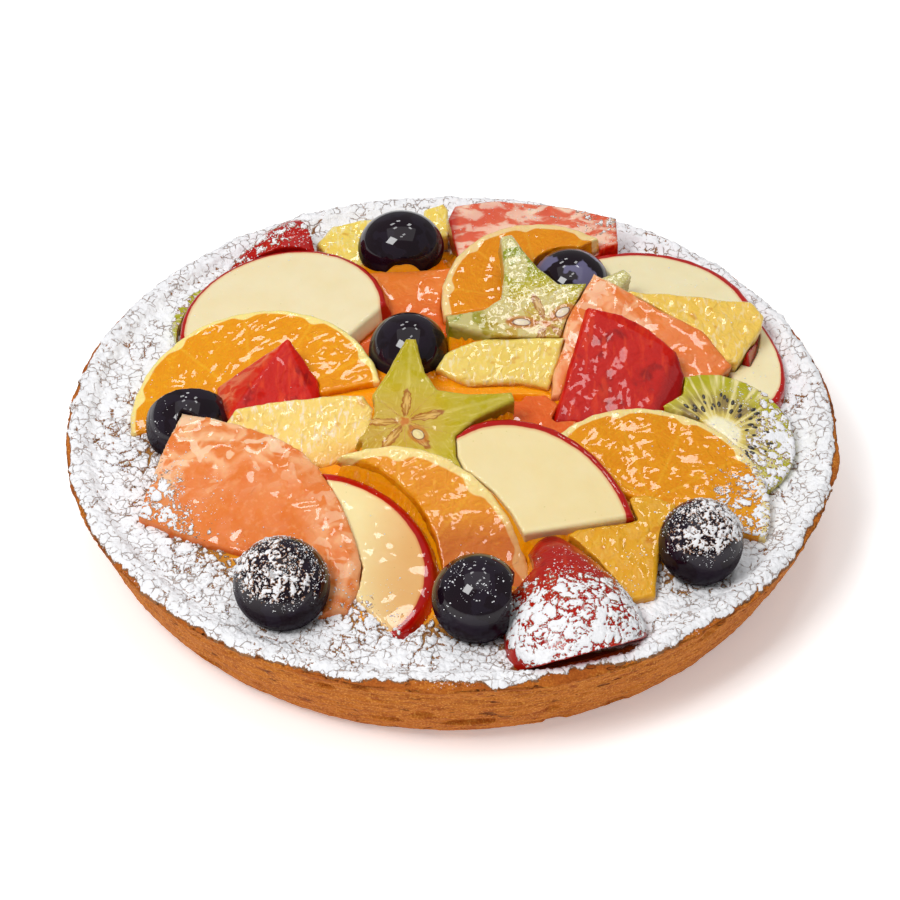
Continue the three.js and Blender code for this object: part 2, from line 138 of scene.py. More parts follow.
# Kiwi seeds: how many are tried in each slice, their ring as shares of its reach, and their size
KIWI_SEEDS = 70
SEED_RING = (0.36, 0.66)
SEED_SIZE = (1.1, 2.3, 0.9)

# Icing sugar: where it starts and is full, its depth, and how much of it stays on each piece, or none
SUGAR_START = 72.0
SUGAR_FULL = 101.0
SUGAR_DEPTH = 0.75
SUGAR_SHARE = {
    "apple_1": 0.1, "apple_2": 0.75, "apple_4": 0.15, "apple_5": 0.15,
    "orange_1": 0.15, "orange_2": 0.3, "orange_3": 0.8,
    "melon_1": 0.7, "straw_3": 0.82, "straw_4": 0.6, "straw_5": 0.55,
    "kiwi_1": 0.85, "kiwi_2": 0.6,
    "grape_3": 0.3, "grape_4": 0.6, "grape_5": 0.25, "grape_6": 0.64,
    "pine_3": 0.05, "pine_4": 0.35, "pine_5": 0.2, "pine_6": 0.3,
}
TART_SHARE = 0.7
# Sheets of sugar: inner and outer distance from the middle, rows, and columns of the near and the far half
SUGAR_SHEETS = {
    "sugar_on_rim": (97.0, 115.6, 56, 1250, 650),
    "sugar_on_filling": (70.0, 97.3, 80, 900, 500),
}
# Juice under the front berry: its middle and turn, and its reach along and across
JUICE_AT = (33.0, -102.0, math.radians(12))
JUICE_SIZE = (18.0, 3.4)
# Loose grains: the most of them, their smallest and largest size, and how many are tried over each piece
GRAINS = 23000
GRAIN_SIZES = (0.1, 0.4)
FLECKS = {
    "straw_3": 5000, "grape_4": 5200, "grape_5": 1600, "grape_6": 3800, "grape_3": 900, "kiwi_1": 5200,
    "orange_3": 5200, "melon_1": 12000, "apple_2": 5000, "straw_5": 2600, "straw_4": 2200, "kiwi_2": 1600,
    "pine_4": 1500, "orange_2": 1500, "apple_5": 800, "pine_5": 500, "pine_6": 300, "orange_1": 1200,
    "tart": 9000,
}

# Lamps, in metres: place, width and depth, and watts. The strips are what the glaze mirrors.
LAMPS = {
    "key_box": ((-0.45, -0.5, 1.05), (0.42, 0.42), 8.3),
    "top_box": ((0.0, -0.1, 1.6), (1.8, 1.4), 5.6),
    "front_strip": ((0.15, -0.15, 1.26), (0.15, 0.09), 0.42),
    "low_strip": ((0.03, -0.31, 1.24), (0.13, 0.08), 0.34),
    "back_strip": ((-0.25, 0.37, 1.19), (0.17, 0.1), 0.52),
    "middle_strip": ((0.37, 0.38, 1.17), (0.15, 0.09), 0.44),
    "left_strip": ((-0.31, 0.65, 1.02), (0.17, 0.1), 0.52),
    "right_strip": ((0.27, 0.6, 1.04), (0.1, 0.17), 0.52),
    "spark_box": ((-0.1, 0.78, 0.88), (0.1, 0.08), 0.3),
}
LAMP_TARGET = (0, 0, 0.03)
WORLD_LIGHT = 0.25
FLOOR_GLOW = 0.3
FLOOR_REACH = 4.0
FLOOR_DROP = 0.0002

# Lattices of random numbers behind every soft random field
LATTICE = 32
random_lattice = np.random.default_rng(11).random((LATTICE, LATTICE, LATTICE))
jitter_lattice = np.random.default_rng(12).random((LATTICE, LATTICE, LATTICE, 3))


def smoothstep(value, low, high):
    share = np.clip((value - low) / (high - low), 0, 1)
    return share * share * (3 - 2 * share)


def noise(points, size, seed=0):
    """A soft random field from 0 to 1, with lumps of this size or of these three sizes."""
    spots = points / np.asarray(size, float) + 7.31 * seed
    cell = np.floor(spots).astype(int)
    share = smoothstep(spots - cell, 0, 1)
    total = np.zeros(len(spots))
    for corner in itertools.product((0, 1), repeat=3):
        weight = np.prod(np.where(corner, share, 1 - share), axis=1)
        total += weight * random_lattice[tuple(((cell + corner) % LATTICE).T)]
    return total


def rough_noise(points, size, seed=0, octaves=3):
    total = sum(noise(points, np.asarray(size) / 2**k, seed + k) / 2**k for k in range(octaves))
    return total / sum(1 / 2**k for k in range(octaves))


def lumps(points, size, seed=0):
    """Scattered cells: how far each point is from its cell's border, and a random height for the cell."""
    spots = points / size + 3.7 * seed
    cell = np.floor(spots).astype(int)
    nearest = np.full(len(spots), 9.0)
    second = nearest.copy()
    tone = np.zeros(len(spots))
    for step in itertools.product((-1, 0, 1), repeat=3):
        corner = cell + step
        jitter = jitter_lattice[tuple((corner % LATTICE).T)]
        distance = np.linalg.norm(spots - corner - jitter, axis=1)
        second = np.minimum(second, np.maximum(nearest, distance))
        tone = np.where(distance < nearest, (jitter[:, 0] * 7.3) % 1, tone)
        nearest = np.minimum(nearest, distance)
    return (second - nearest) * size, tone


def outward(points):
    """Distance of each point from the tart's axis."""
    return np.hypot(points[:, 0], points[:, 1])


def ringed(radius, angle, height=0.0):
    """Points at these distances, angles and heights, row by row."""
    radius, angle, height = np.broadcast_arrays(radius, angle, height)
    return np.stack([radius * np.cos(angle), radius * np.sin(angle), height], axis=-1).reshape(-1, 3)


def turns_of(columns):
    return np.linspace(0, 2 * math.pi, columns, endpoint=False)


def crown(radius):
    """Height of the filling at a distance from the middle."""
    inward = np.maximum(0, 1 - radius / FILLING_RADIUS / FILLING_SHOULDER)
    return FILLING_EDGE + (FILLING_CENTRE - FILLING_EDGE) * (1 - (1 - inward) ** 2)


def place_matrix(at, turn, lean, toward):
    """The way a piece stands in the frame."""
    spin = Matrix.Rotation(math.radians(toward), 4, "Z")
    tilt = Matrix.Rotation(math.radians(lean), 4, "Y")
    back = Matrix.Rotation(math.radians(turn - toward), 4, "Z")
    return np.array(Matrix.Translation(at) @ spin @ tilt @ back)


def into(matrix, points):
    return (points - matrix[:3, 3]) @ matrix[:3, :3]


def out_of(matrix, points):
    return points @ matrix[:3, :3].T + matrix[:3, 3]


# Meshes as arrays


def mesh_arrays(mesh):
    points = np.empty(len(mesh.vertices) * 3)
    mesh.vertices.foreach_get("co", points)
    edges = np.empty(len(mesh.edges) * 2, int)
    mesh.edges.foreach_get("vertices", edges)
    return points.reshape(-1, 3) / MM, edges.reshape(-1, 2)


def normals_of(mesh):
    normals = np.empty(len(mesh.vertices) * 3, np.float32)
    mesh.vertex_normals.foreach_get("vector", normals)
    return normals.reshape(-1, 3).astype(float)


def set_points(mesh, points):
    mesh.vertices.foreach_set("co", (points * MM).ravel())
    mesh.update()


def set_attributes(mesh, **fields):
    """Keeps a number or a vector at each point, under each name. One number stands for every point."""
    for name, values in fields.items():
        values = np.asarray(values, np.float32)
        if values.ndim == 0:
            values = np.full(len(mesh.vertices), values)
        kind, key = ("FLOAT", "value") if values.ndim == 1 else ("FLOAT_VECTOR", "vector")
        mesh.attributes.new(name, kind, "POINT").data.foreach_set(key, values.ravel())


def smoothed(points, edges, rounds):
    """Evens out small steps without shrinking the shape."""
    a, b = edges.T
    count = np.bincount(edges.ravel(), minlength=len(points))
    for factor in (0.5, -0.52) * rounds:
        for axis in range(3):
            line = points[:, axis]
            total = np.bincount(a, line[b], len(line)) + np.bincount(b, line[a], len(line))
            points[:, axis] = line + factor * (total / count - line)
    return points


def linked(name, data):
    """A new object in the scene."""
    thing = bpy.data.objects.new(name, data)
    bpy.context.scene.collection.objects.link(thing)
    return thing


def new_piece(name, points, faces, material):
    mesh = bpy.data.meshes.new(name)
    mesh.from_pydata((points * MM).tolist(), [], faces)
    mesh.update()
    mesh.shade_smooth()
    piece = linked(name, mesh)
    mesh.materials.append(material)
    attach(piece, "root")
    return piece


def remeshed(name, voxel):
    """An even fine mesh of a CAD node's form."""
    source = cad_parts[name]
    piece = linked("glazed_" + name, source.data.copy())
    modifier = piece.modifiers.new("even", "REMESH")
    modifier.mode = "VOXEL"
    modifier.voxel_size = voxel * MM
    evaluated = piece.evaluated_get(bpy.context.evaluated_depsgraph_get())
    mesh = bpy.data.meshes.new_from_object(evaluated)
    piece.modifiers.clear()
    piece.data = mesh
    mesh.materials.clear()
    mesh.shade_smooth()
    return piece


def grid_faces(rows, columns):
    """Four-sided faces of a grid whose rows run round the tart."""
    row = np.arange(rows - 1)[:, None] * columns
    here = np.arange(columns)[None, :]
    ahead = (here + 1) % columns
    faces = np.stack([row + here, row + ahead, row + columns + ahead, row + columns + here], axis=-1)
    return faces.reshape(-1, 4)


def tree_of(pieces):
    points = []
    faces = []
    for piece in pieces:
        start = len(points)
        mesh = piece.data
        points.extend(v.co / MM for v in mesh.vertices)
        faces.extend([start + i for i in face.vertices] for face in mesh.polygons)
    return BVHTree.FromPolygons(points, faces)


def heights_below(tree, points):
    """Height of the first surface below each point and its way up, or minus one where there is none."""
    heights = np.full(len(points), -1.0)
    upward = np.zeros(len(points))
    down = Vector((0, 0, -1))
    for i, (x, y) in enumerate(points[:, :2].tolist()):
        hit, normal, _, _ = tree.ray_cast((x, y, RAY_TOP), down)
        if hit is not None:
            heights[i] = hit.z
            upward[i] = normal.z
    return heights, upward


# Materials


def rgb(red, green, blue):
    """A screen colour as the shader's linear colour."""
    parts = [v / 255 for v in (red, green, blue)]
    return tuple(v / 12.92 if v <= 0.04045 else ((v + 0.055) / 1.055) ** 2.4 for v in parts) + (1.0,)


SUGAR_WHITE = (246, 246, 249)


class Shader:
    """A node material whose nodes are made by short calls that take values or other nodes' outputs."""

    def __init__(self, name, **settings):
        self.material = bpy.data.materials.new(name)
        self.material.use_nodes = True
        self.tree = self.material.node_tree
        self.surface = self.tree.nodes["Principled BSDF"]
        for socket, value in settings.items():
            self.surface.inputs[socket.replace("_", " ").title().replace("Ior", "IOR")].default_value = value
        self.place = self.make("ShaderNodeTexCoord").outputs["Object"]
        self.tone = None

    def make(self, kind, inputs=None, **settings):
        node = self.tree.nodes.new(kind)
        for key, value in settings.items():
            setattr(node, key, value)
        for socket, value in (inputs or {}).items():
            self.feed(node.inputs[socket], value)
        return node

    def feed(self, socket, value):
        """Links a node's output, or sets a value: three numbers for a colour are screen values."""
        if isinstance(value, bpy.types.NodeSocket):
            self.tree.links.new(value, socket)
        else:
            socket.default_value = rgb(*value) if socket.type == "RGBA" and len(value) == 3 else value

    def math(self, operation, *values):
        return self.make("ShaderNodeMath", dict(enumerate(values)), operation=operation).outputs[0]

    def times(self, first, second):
        return self.math("MULTIPLY", first, second)

    def plus(self, first, second):
        return self.math("ADD", first, second)

    def swing(self, value, reach):
        """A value round a half, turned into one round zero that reaches this far each way at most."""
        return self.times(self.math("SUBTRACT", value, 0.5), 2 * reach)

    def length(self, x, y):
        return self.math("SQRT", self.plus(self.math("POWER", x, 2.0), self.math("POWER", y, 2.0)))

    def mix(self, share, first, second, blend="MIX"):
        inputs = {0: share, 6: first, 7: second}
        return self.make("ShaderNodeMix", inputs, data_type="RGBA", blend_type=blend).outputs[2]

    def step(self, value, low, high, start=0.0, end=1.0):
        inputs = {"Value": value, "From Min": low, "From Max": high, "To Min": start, "To Max": end}
        return self.make("ShaderNodeMapRange", inputs, interpolation_type="SMOOTHSTEP").outputs[0]

    def vectors(self, operation, inputs):
        return self.make("ShaderNodeVectorMath", inputs, operation=operation).outputs[0]

    def spread(self, size, place=None):
        return {"Vector": place or self.place, "Scale": 1 / (size * MM)}

    def warped(self, size, reach):
        """The place, pushed about by a soft random amount."""
        random = self.make("ShaderNodeTexNoise", self.spread(size)).outputs["Color"]
        centred = self.vectors("SUBTRACT", {0: random, 1: (0.5, 0.5, 0.5)})
        push = self.vectors("SCALE", {0: centred, "Scale": reach * MM})
        return self.vectors("ADD", {0: self.place, 1: push})

    def joined(self, x, y):
        return self.make("ShaderNodeCombineXYZ", {0: x, 1: y}).outputs[0]

    def stretched(self, *scale):
        return self.make("ShaderNodeMapping", {"Vector": self.place, "Scale": scale}).outputs[0]

    def noise(self, size, detail=2.0, distortion=0.0, place=None):
        inputs = {**self.spread(size, place), "Detail": detail, "Distortion": distortion}
        return self.make("ShaderNodeTexNoise", inputs).outputs[0]

    def cells(self, size, feature="DISTANCE_TO_EDGE", place=None):
        inputs = self.spread(size, place)
        return self.make("ShaderNodeTexVoronoi", inputs, feature=feature).outputs["Distance"]

    def number(self, name):
        return self.make("ShaderNodeAttribute", attribute_name=name).outputs["Fac"]

    def vector(self, name):
        return self.make("ShaderNodeAttribute", attribute_name=name).outputs["Vector"]

    def parts(self, vector):
        return self.make("ShaderNodeSeparateXYZ", {0: vector}).outputs[:3]

    def bump(self, height, depth, strength=1.0, base=None):
        inputs = {"Height": height, "Distance": depth * MM, "Strength": strength}
        if base is not None:
            inputs["Normal"] = base
        return self.make("ShaderNodeBump", inputs).outputs[0]

    def paint(self, share, colour, strength=1.0):
        """Lays a colour over what is painted so far."""
        share = share if strength == 1.0 else self.times(share, strength)
        self.tone = self.mix(share, self.tone, colour)

    def wash(self, value, low, high, colour, strength=1.0):
        """Lays a colour that comes in as a value goes from low to high."""
        self.paint(self.step(value, low, high), colour, strength)

    def marble(self, size, detail, first, second):
        """Starts with two colours in soft patches."""
        self.tone = self.mix(self.noise(size, detail), first, second)

    def finish(self, roughness=None, normal=None, coat=None):
        for socket, value in (
            ("Base Color", self.tone),
            ("Roughness", roughness),
            ("Normal", normal),
            ("Coat Weight", coat),
        ):
            if value is not None:
                self.feed(self.surface.inputs[socket], value)
        return self.material


def glazed(name, subsurface, radius, coat_ior=1.4):
    """Soft wet flesh under a clear glaze."""
    return Shader(
        name,
        specular_ior_level=0.08,
        subsurface_weight=subsurface,
        subsurface_scale=MM,
        subsurface_radius=radius,
        coat_weight=1.0,
        coat_roughness=0.02,
        coat_ior=coat_ior,
    )


def dusted(shader, size=0.55, full=1.1):
    """Lays fine sugar dust over the colour, and gives the share that it covers."""
    dust = shader.step(shader.plus(shader.number("dust"), shader.noise(size, 4.0)), 1.02, full)
    shader.paint(dust, SUGAR_WHITE)
    return dust


def dressed(shader, relief=None, relief_depth=0.15, amber=(226, 148, 40), wobble=0.42):
    """Finishes flesh: a tint for each piece, amber jelly over its low parts and sugar dust further out."""
    tinted = shader.mix(1.0, shader.tone, shader.vector("tint"), "MULTIPLY")
    shader.tone = shader.mix(shader.number("pool"), tinted, shader.mix(0.75, tinted, amber, "MULTIPLY"))
    dust = dusted(shader)
    wet = shader.bump(shader.noise(3.2, 1.5, 1.0), wobble)
    if relief is not None:
        wet = shader.bump(relief, relief_depth, base=wet)
    normal = shader.bump(dust, 0.15, base=wet)
    rough = shader.step(dust, 0.0, 1.0, 0.4, 0.95)
    return shader.finish(rough, normal, shader.step(dust, 0.0, 0.6, 1.0, 0.0))


def face_place(shader):
    """Distance from a cut face's middle as a share of its reach, the angle there, and the depth."""
    across, along, depth = shader.parts(shader.vector("flesh"))
    return shader.length(across, along), shader.math("ARCTAN2", along, across), depth


def apple_material():
    shader = glazed("apple_flesh", 0.2, (4.0, 2.5, 1.2))
    reach, _, _ = face_place(shader)
    shader.marble(9.0, 3.0, (250, 239, 200), (244, 226, 172))
    fleck = shader.step(shader.cells(3.2, "F1"), 0.10, 0.04)
    shader.paint(fleck, (196, 192, 110), 0.35)
    shader.wash(reach, 0.9, 0.99, (238, 224, 150), 0.35)
    wander = shader.swing(shader.noise(5.0), 0.01)
    edge = shader.math("SUBTRACT", shader.plus(reach, wander), shader.number("rind"))
    drift = shader.noise(4.0, 3.0, place=shader.stretched(1, 1, 0.2))
    skin = shader.mix(drift, (200, 16, 6), (160, 6, 4))
    shader.wash(edge, -0.006, 0.006, skin)
    blush = shader.times(shader.step(edge, -0.03, -0.004), shader.step(edge, 0.006, -0.006))
    shader.paint(blush, (226, 120, 70), 0.35)
    return dressed(shader, wobble=0.07)


def orange_material():
    shader = glazed("orange_pulp", 0.3, (4.0, 2.0, 0.5))
    reach, angle, depth = face_place(shader)
    spoke = shader.math("PINGPONG", shader.plus(angle, 0.35), math.pi / 10)
    spoke_gap = shader.times(shader.times(spoke, reach), 38.0)
    streak = shader.noise(2.0, 3.0, 1.5)
    sacs = shader.joined(shader.times(shader.times(angle, reach), 0.028), shader.times(reach, 0.0085))
    sac_edge = shader.cells(1.0, place=sacs)
    shader.marble(6.0, 3.0, (226, 140, 0), (237, 163, 4))
    shader.wash(sac_edge, 0.1, 0.0, (246, 184, 24), 0.25)
    shader.wash(streak, 0.6, 0.66, (248, 192, 44), 0.4)
    shader.wash(spoke_gap, 0.75, 0.2, (247, 200, 60), 0.25)
    wander = shader.swing(shader.noise(6.0), 0.015)
    notch = shader.times(shader.step(spoke_gap, 4.2, 0.1), 0.04)
    edge = shader.math("SUBTRACT", shader.plus(shader.plus(reach, wander), notch), shader.number("rind"))
    pith = shader.mix(shader.noise(1.6, 3.0), (251, 240, 200), (246, 222, 150))
    shader.wash(edge, -0.006, 0.008, pith)
    peel = shader.times(shader.step(depth, -0.06, -0.11), shader.step(reach, 0.95, 0.99))
    shader.paint(peel, (236, 160, 34))
    return dressed(shader, sac_edge, 0.06, (196, 106, 8), 0.62)


def melon_material():
    shader = glazed("melon_flesh", 0.35, (4.0, 1.6, 0.8))
    shader.marble(11.0, 3.0, (226, 114, 42), (236, 142, 74))
    shader.wash(shader.noise(1.6, 4.0), 0.5, 0.8, (244, 176, 124), 0.5)
    # Painted wet highlights: soft and crisp pale patches on the upper parts that the pale attribute marks
    soft = shader.times(shader.step(shader.noise(7.0, 2.0, 0.6), 0.4, 0.6), shader.number("pale"))
    shader.paint(soft, (248, 190, 146))
    crisp_highlight = shader.times(shader.step(shader.noise(6.5, 2.0, 0.8), 0.54, 0.58), shader.number("pale"))
    shader.paint(crisp_highlight, (253, 214, 184), 0.75)
    return dressed(shader, amber=(228, 120, 40), wobble=0.5)


def strawberry_material():
    shader = glazed("strawberry_flesh", 0.3, (4.0, 0.7, 0.4), coat_ior=1.32)
    fibres = shader.noise(2.6, 2.0, 0.5, shader.stretched(1, 0.25, 0.35))
    shader.marble(6.0, 3.0, (216, 36, 6), (196, 12, 2))
    shader.wash(shader.noise(7.0, 3.0), 0.46, 0.3, (150, 2, 2), 0.8)
    shader.wash(fibres, 0.52, 0.68, (236, 84, 40), 0.6)
    shader.wash(shader.noise(5.0, 3.0, 0.5), 0.58, 0.7, (226, 72, 26), 0.45)
    marbling = shader.step(shader.noise(2.6, 4.0, 0.6, shader.stretched(0.45, 1, 1)), 0.42, 0.58)
    pale = shader.mix(marbling, (222, 96, 66), (244, 196, 176))
    # Pale cut flesh, with a painted sheen on straw_2's upper back face
    shader.paint(shader.number("pale"), pale)
    shader.paint(shader.number("skin"), (166, 8, 8))
    return dressed(shader, fibres, 0.03, (206, 70, 30), 0.5)


def kiwi_material():
    shader = glazed("kiwi_flesh", 0.3, (2.4, 2.6, 0.8))
    reach, angle, _ = face_place(shader)
    round_core = shader.joined(shader.times(angle, 0.0075), shader.times(reach, 0.0012))
    rays = shader.noise(1.0, 3.0, 0.3, round_core)
    shader.tone = shader.mix(shader.step(reach, 0.25, 0.95), (210, 192, 96), (168, 166, 22))
    shader.wash(rays, 0.46, 0.66, (228, 220, 160))
    wander = shader.swing(shader.noise(4.0), 0.08)
    shader.wash(shader.plus(reach, wander), 0.30, 0.2, (240, 236, 204))
    ring = shader.times(shader.step(reach, 0.28, 0.4), shader.step(reach, 0.78, 0.55))
    shadow = shader.times(ring, shader.step(rays, 0.6, 0.35))
    shader.paint(shadow, (112, 92, 78), 0.8)
    return dressed(shader, rays, 0.1, (170, 160, 40))


def star_pocket(shader, along, across):
    """How far each point is from the middle of its arm's seed pocket, which ends at one."""
    wobble = shader.swing(shader.noise(1.8, 3.0), 1.1)
    middle = shader.math("DIVIDE", shader.math("SUBTRACT", along, 6.9), 4.6)
    side = shader.math("DIVIDE", shader.plus(across, wobble), 1.25)
    return shader.length(middle, side)


def star_material():
    """Clear yellow-green flesh with pale veins, and a narrow brown-edged pocket along each arm."""
    shader = glazed("star_fruit_flesh", 0.35, (3.5, 3.0, 0.6))
    along, across, gap = shader.parts(shader.vector("arm"))
    reach, angle, depth = face_place(shader)
    x, y, _ = shader.parts(shader.vector("flesh"))
    frost = shader.number("frost")
    shader.marble(6.0, 3.0, (208, 192, 34), (184, 176, 10))
    # Painted shade: the left and front side of each slice is browner
    shaded = shader.step(shader.plus(x, shader.times(y, 0.6)), 0.05, -0.4)
    shader.paint(shaded, (196, 156, 78), 0.7)
    shader.wash(reach, 0.5, 0.12, (206, 176, 92), 0.75)
    veins = shader.noise(1.0, 2.0, 0.3, shader.joined(
        shader.times(along, 0.0002), shader.times(across, 0.0011)))
    shader.wash(veins, 0.55, 0.7, (226, 216, 146), 0.55)
    spine = shader.step(shader.math("ABSOLUTE", across), 0.9, 0.0)
    shader.paint(spine, (228, 222, 160), 0.4)
    # Painted broad wet highlights: crisp pale patches, full on star_2 and a quarter as strong on star_1
    clear = shader.times(shader.step(shader.noise(7.0, 2.0), 0.44, 0.5), frost)
    green = shader.times(shader.step(reach, 0.3, 0.75), frost)
    shader.paint(green, (132, 152, 28), 0.85)
    shader.paint(clear, (220, 212, 160), 0.75)
    # Painted glints: white specks on the upper part of star_2
    specks = shader.step(shader.noise(0.6, 3.0), 0.52, 0.6, 0.0, 0.8)
    shader.paint(shader.times(specks, shader.number("sparkle")), (238, 240, 214))
    pocket = star_pocket(shader, along, across)
    inside = shader.mix(shader.step(veins, 0.4, 0.6), (178, 124, 66), (232, 196, 152))
    shader.wash(pocket, 1.05, 0.85, inside, 0.8)
    line = shader.times(shader.step(pocket, 0.78, 0.95), shader.step(pocket, 1.25, 1.02))
    shader.paint(line, (160, 84, 36), 0.8)
    rays = shader.noise(1.0, 3.0, place=shader.joined(shader.times(angle, 0.006), 0.0))
    rays = shader.times(shader.step(rays, 0.52, 0.62), shader.step(along, 6.5, 2.0))
    shader.paint(rays, (236, 204, 160), 0.6)
    core = shader.plus(along, shader.times(shader.noise(1.0, 3.0), 3.0))
    shader.wash(core, 3.6, 2.2, (202, 112, 42), 0.85)
    shader.wash(depth, -0.02, -0.09, (158, 142, 12), 0.85)
    shader.wash(gap, 1.6, 0.9, (198, 122, 52), 0.7)
    shader.wash(gap, 0.35, 0.1, (104, 70, 60), 0.85)
    shader.wash(gap, 0.1, -0.15, (240, 232, 224))
    return dressed(shader, veins, 0.05, (210, 160, 30), 0.3)


def pineapple_material():
    shader = glazed("pineapple_flesh", 0.3, (4.0, 3.0, 1.0))
    fibres = shader.noise(1.3, 3.0, 0.8, shader.stretched(1, 0.35, 0.45))
    shader.marble(7.0, 3.0, (246, 222, 118), (240, 204, 78))
    shader.wash(fibres, 0.5, 0.68, (249, 238, 192), 0.7)
    shader.wash(shader.noise(4.5, 2.0), 0.62, 0.74, (214, 150, 40), 0.6)
    return dressed(shader, fibres, 0.1, (226, 160, 40), 0.8)


def grape_material():
    shader = Shader("grape_skin", specular_ior_level=0.0, coat_weight=1.0, coat_roughness=0.02, coat_ior=1.45)
    shader.marble(8.0, 2.0, (16, 9, 18), (30, 14, 24))
    # Lavender patches: a painted reflection on grape_7, a faint bloom on the other grapes
    bloom = shader.times(shader.step(shader.noise(6.0, 2.0), 0.48, 0.53), shader.number("bloom"))
    shader.paint(bloom, (112, 108, 142), 0.8)
    dust = dusted(shader)
    normal = shader.bump(dust, 0.15, base=shader.bump(shader.noise(5.0, 2.0), 0.2))
    rough = shader.step(dust, 0.0, 1.0, 0.3, 0.95)
    coat = shader.times(shader.number("shine"), shader.step(dust, 0.0, 0.6, 1.0, 0.0))
    return shader.finish(rough, normal, coat)


def seed_material():
    shader = Shader("kiwi_seed", roughness=0.3, coat_weight=0.8, coat_roughness=0.08)
    shader.marble(0.8, 2.0, (24, 18, 14), (58, 44, 34))
    return shader.finish()


def filling_material():
    """Amber jelly over the middle and baked cream by the rim."""
    shader = glazed("jelly_and_cream", 0.35, (4.0, 1.8, 0.5))
    cream = shader.mix(shader.noise(3.0, 4.0), (186, 128, 58), (134, 80, 32))
    cream = shader.mix(shader.step(shader.noise(1.0, 3.0), 0.5, 0.8, 0.0, 0.5), cream, (206, 156, 84))
    baked = shader.number("baked")
    shader.marble(12.0, 3.0, (250, 164, 12), (244, 142, 4))
    shader.paint(baked, cream)
    shader.paint(shader.number("juice"), (128, 26, 10), 0.75)
    dust = dusted(shader, 0.6, 1.14)
    wet = shader.bump(shader.noise(4.0, 2.0, 0.5), 0.4)
    dry = shader.bump(shader.noise(1.0, 4.0), 0.3, base=wet)
    coat = shader.times(shader.step(baked, 0.0, 1.0, 1.0, 0.1), shader.step(dust, 0.0, 0.6, 1.0, 0.0))
    return shader.finish(shader.step(baked, 0.0, 1.0, 0.15, 0.7), dry, coat)


def crust_material():
    shader = Shader("baked_pastry", specular_ior_level=0.2)
    layers = shader.noise(1.8, 5.0, 0.8, shader.stretched(0.3, 0.3, 1.2))
    sand = shader.noise(0.6, 4.0)
    shader.marble(16.0, 3.0, (206, 124, 40), (180, 94, 20))
    shader.wash(layers, 0.55, 0.3, (158, 76, 16))
    shader.wash(sand, 0.5, 0.7, (228, 160, 72), 0.7)
    shader.wash(sand, 0.44, 0.28, (122, 56, 10), 0.6)
    # Dark slits in the wall: bumped in, with the shade in them painted as dark brown
    slit = shader.step(shader.noise(3.2, 2.0, 0.6, shader.stretched(0.4, 0.4, 1.6)), 0.66, 0.72)
    shader.paint(slit, (104, 44, 8), 0.75)
    shader.paint(shader.number("browned"), shader.mix(sand, (122, 52, 14), (196, 104, 34)))
    dusted(shader, 0.5, 1.14)
    rough_layers = shader.bump(slit, -0.7, base=shader.bump(layers, 0.35))
    normal = shader.bump(sand, 0.35, base=rough_layers)
    return shader.finish(0.8, normal)


def sugar_material():
    """Powder with a thin brown shadow in its cracks."""
    shader = Shader("icing_sugar", specular_ior_level=0.1)
    fine = shader.noise(0.45, 4.0)
    cover = shader.plus(shader.number("cover"), shader.swing(fine, 0.4))
    crack = shader.mix(shader.noise(1.5, 3.0), (104, 58, 24), (176, 130, 92))
    shader.marble(3.0, 3.0, (252, 252, 253), (238, 238, 242))
    shader.wash(cover, 0.28, 0.06, crack)
    line = shader.step(shader.cells(2.8, place=shader.warped(1.6, 1.6)), 0.06, 0.015)
    line = shader.times(line, shader.step(shader.noise(4.0, 2.0), 0.42, 0.58))
    line = shader.times(line, shader.number("crackle"))
    shader.paint(line, crack, 0.65)
    normal = shader.bump(fine, 0.25, base=shader.bump(shader.noise(1.4, 3.0), 0.35))
    normal = shader.bump(line, -0.3, base=normal)
    return shader.finish(0.95, normal)


# Fruit


def berry_taper(along):
    return 1 - BERRY_TAPER * np.maximum(0, (along - BERRY_STALK_END) / (1 - BERRY_STALK_END))


def rounded(points, place, taper=False):
    """Moves points near a faceted round skin out to the true round form."""
    at, turn, lean, toward, sizes = place
    matrix = place_matrix(at, turn, lean, toward)
    length, width, height = sizes
    half = np.array([width, length, 2 * height] if taper else sizes) / 2
    own = into(matrix, points) / half
    if taper:
        own[:, [0, 2]] /= berry_taper(own[:, 1:2])
    reach = np.linalg.norm(own, axis=1)
    near = smoothstep(reach, 0.88, 0.94)
    own *= (1 + near * (1 / np.maximum(reach, 0.5) - 1))[:, None]
    if taper:
        own[:, [0, 2]] *= berry_taper(own[:, 1:2])
    return out_of(matrix, own * half)


def sugar_fall(points, share=1.0):
    """How much sugar lands at each point, from none to a full cover."""
    wander = 9 * (noise(points, 26, 3) - 0.5) + 5 * (noise(points, 9, 5) - 0.5)
    return share * smoothstep(outward(points) + wander, SUGAR_START, SUGAR_FULL)


def sugar_cover(points, fall, crackle=1.0):
    """How well sugar covers each point, above zero where it lies, and the height of its lumps."""
    bent = points + 2.2 * np.stack([rough_noise(points, 2.4, k, 2) - 0.5 for k in (21, 24, 27)], axis=1)
    wide, tall = lumps(bent, 5.0, 1)
    narrow, small = lumps(bent, 2.1, 2)
    split = smoothstep(noise(points, 6, 29), 0.3, 0.6)
    deep = smoothstep(noise(points, 9, 35), 0.25, 0.6)
    broken = (0.3 + 0.6 * deep) * np.exp(-((wide / 0.4) ** 2))
    broken += (0.05 + 0.5 * split) * np.exp(-((narrow / 0.22) ** 2))
    patches = 0.8 * (rough_noise(points, 2.6, 31) - 0.5)
    cover = np.minimum(fall, 1.05) * 1.25 + patches + 0.16 * (small - 0.5) - crackle * broken - 0.36
    dome = 0.35 * np.minimum(narrow / 0.8, 1)
    height = 0.2 + 0.5 * tall + 0.35 * small + dome + 0.7 * (rough_noise(points, 1.4, 33, 2) - 0.5)
    return cover, height


